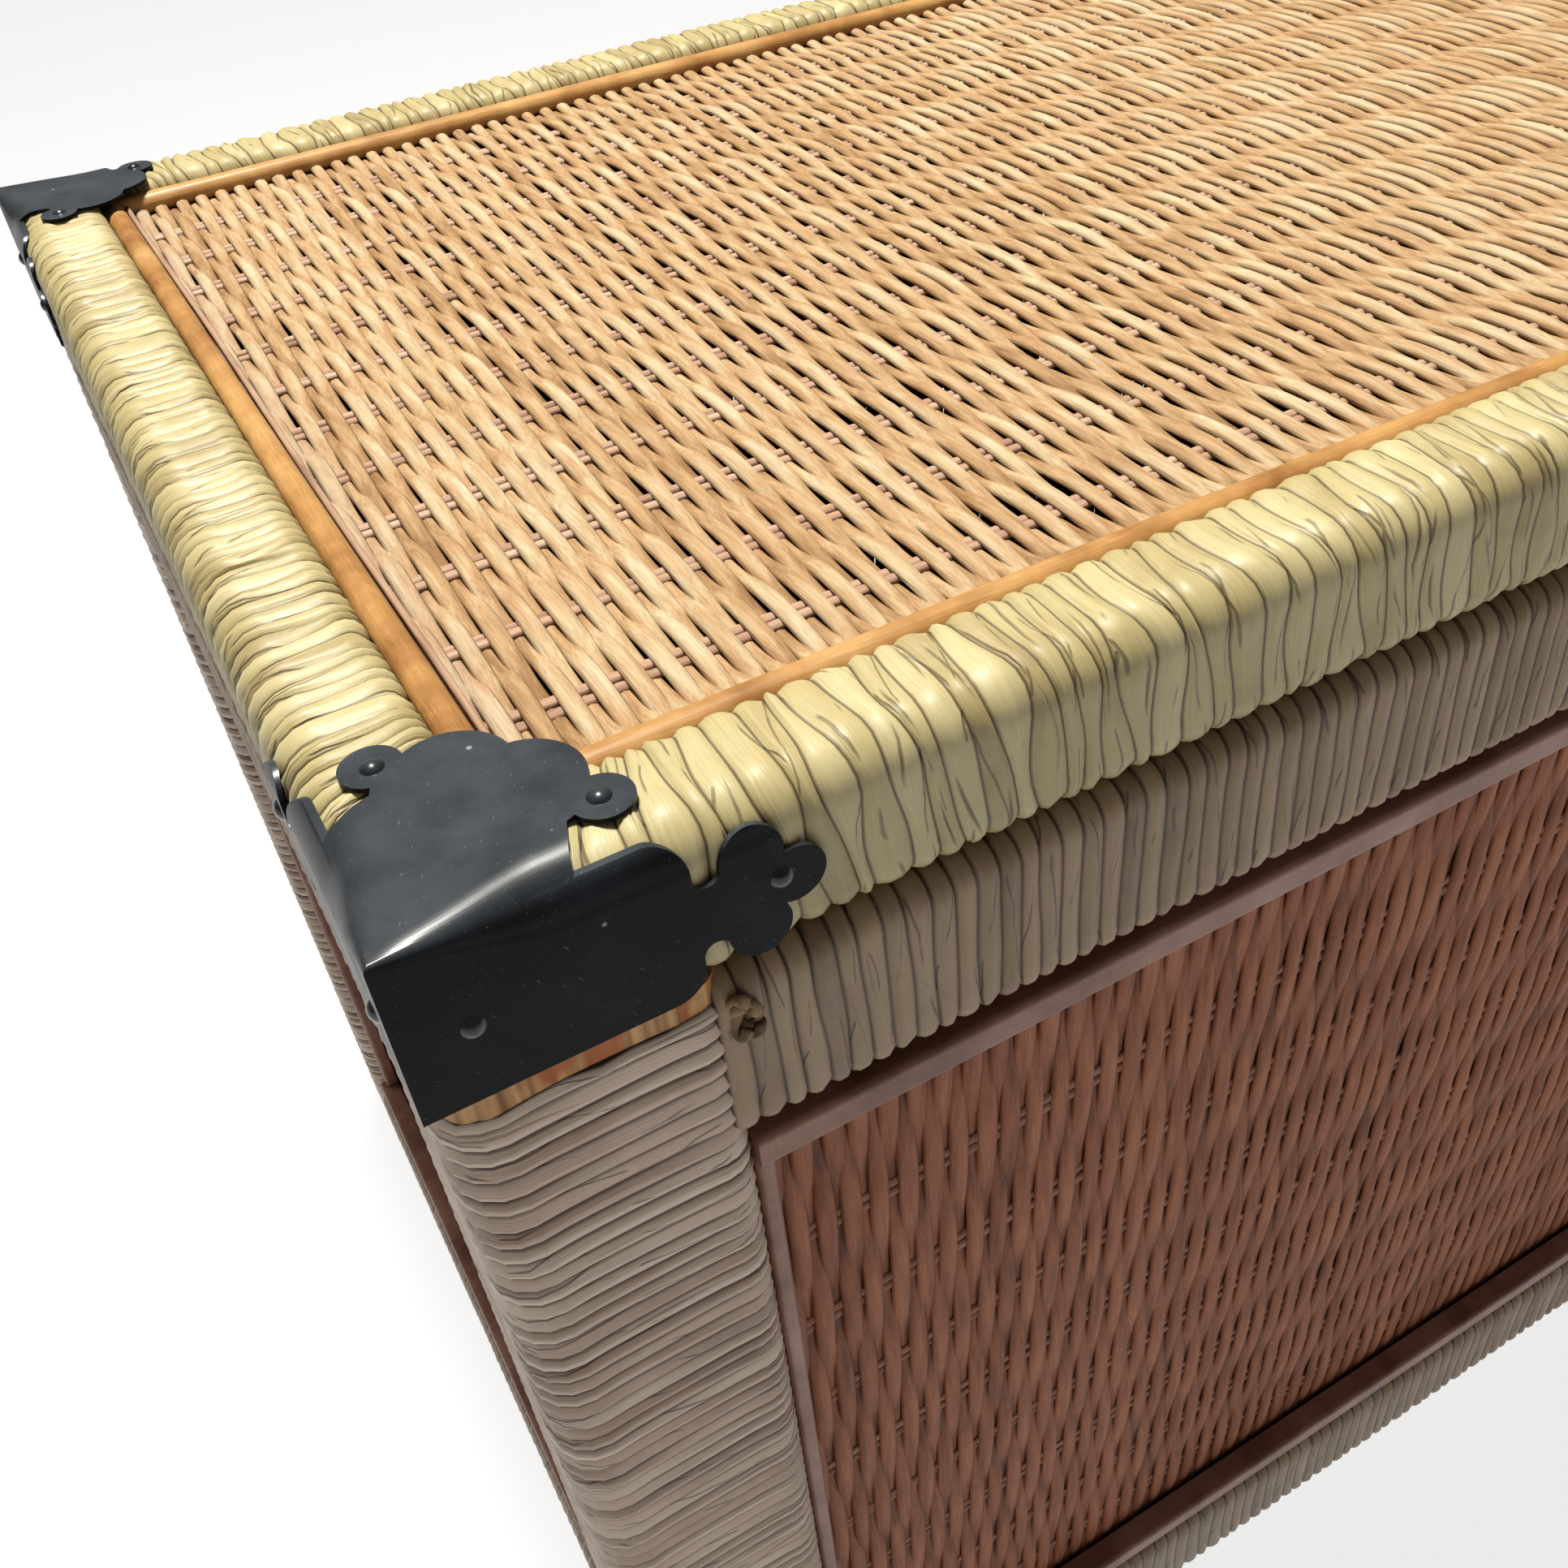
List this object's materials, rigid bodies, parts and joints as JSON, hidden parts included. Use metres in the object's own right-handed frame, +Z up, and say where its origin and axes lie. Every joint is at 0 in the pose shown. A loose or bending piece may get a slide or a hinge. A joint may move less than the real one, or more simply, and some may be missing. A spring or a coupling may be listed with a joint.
{
  "type": "wicker storage trunk",
  "caption": "Rectangular storage trunk with a hinged lid, a leaf-wrapped wooden frame, woven reed panels and black iron corner brackets.",
  "frame": {"origin": "centre of the trunk's overall box, at the floor", "axes": "+X to the right along the long side, +Y to the back where the hinges are, +Z up"},
  "size_m": [0.8826, 0.4681, 0.5223],
  "materials": {
    "frame_wood": "varnished softwood",
    "leaf_wrap": "dry leaf strip under clear lacquer",
    "woven_reed": "lacquered flattened reed",
    "bead_reed": "honey-coloured satin cane",
    "plywood": "plain plywood",
    "black_iron": "blackened iron sheet, satin, lightly worn",
    "pin_steel": "plain steel wire"
  },
  "bodies": {
    "case": {"front_left_post": "frame_wood", "front_left_post_wrap": "leaf_wrap", "front_right_post": "frame_wood", "front_right_post_wrap": "leaf_wrap", "back_left_post": "frame_wood", "back_left_post_wrap": "leaf_wrap", "back_right_post": "frame_wood", "back_right_post_wrap": "leaf_wrap", "rim_front_rail": "frame_wood", "rim_front_wrap": "leaf_wrap", "base_front_rail": "frame_wood", "base_front_wrap": "leaf_wrap", "front_panel": "woven_reed", "front_beads": "bead_reed", "rim_back_rail": "frame_wood", "rim_back_wrap": "leaf_wrap", "base_back_rail": "frame_wood", "base_back_wrap": "leaf_wrap", "back_panel": "woven_reed", "back_beads": "bead_reed", "rim_left_rail": "frame_wood", "rim_left_wrap": "leaf_wrap", "base_left_rail": "frame_wood", "base_left_wrap": "leaf_wrap", "left_panel": "woven_reed", "left_beads": "bead_reed", "rim_right_rail": "frame_wood", "rim_right_wrap": "leaf_wrap", "base_right_rail": "frame_wood", "base_right_wrap": "leaf_wrap", "right_panel": "woven_reed", "right_beads": "bead_reed", "inner_strips": "frame_wood", "base_board": "plywood", "base_cleats": "frame_wood", "rail_dowels": "frame_wood", "left_hinge_case_leaf": "black_iron", "right_hinge_case_leaf": "black_iron", "hinge_pins": "pin_steel", "case_hinge_screws": "black_iron"},
    "lid": {"lid_front_rail": "frame_wood", "lid_front_wrap": "leaf_wrap", "lid_back_rail": "frame_wood", "lid_back_wrap": "leaf_wrap", "lid_left_rail": "frame_wood", "lid_left_wrap": "leaf_wrap", "lid_right_rail": "frame_wood", "lid_right_wrap": "leaf_wrap", "lid_panel": "woven_reed", "lid_beads": "bead_reed", "lid_inner_strips": "frame_wood", "front_left_bracket": "black_iron", "front_right_bracket": "black_iron", "back_left_bracket": "black_iron", "back_right_bracket": "black_iron", "bracket_nails": "black_iron", "left_hinge_lid_leaf": "black_iron", "right_hinge_lid_leaf": "black_iron", "lid_hinge_screws": "black_iron"}
  },
  "joints": [
    {"name": "lid_hinge", "type": "hinge", "parent": "case", "child": "lid", "pos_m": [0, 0.23085, 0.48], "axis": [-1, 0, 0], "range_deg": [0, 100]}
  ]
}
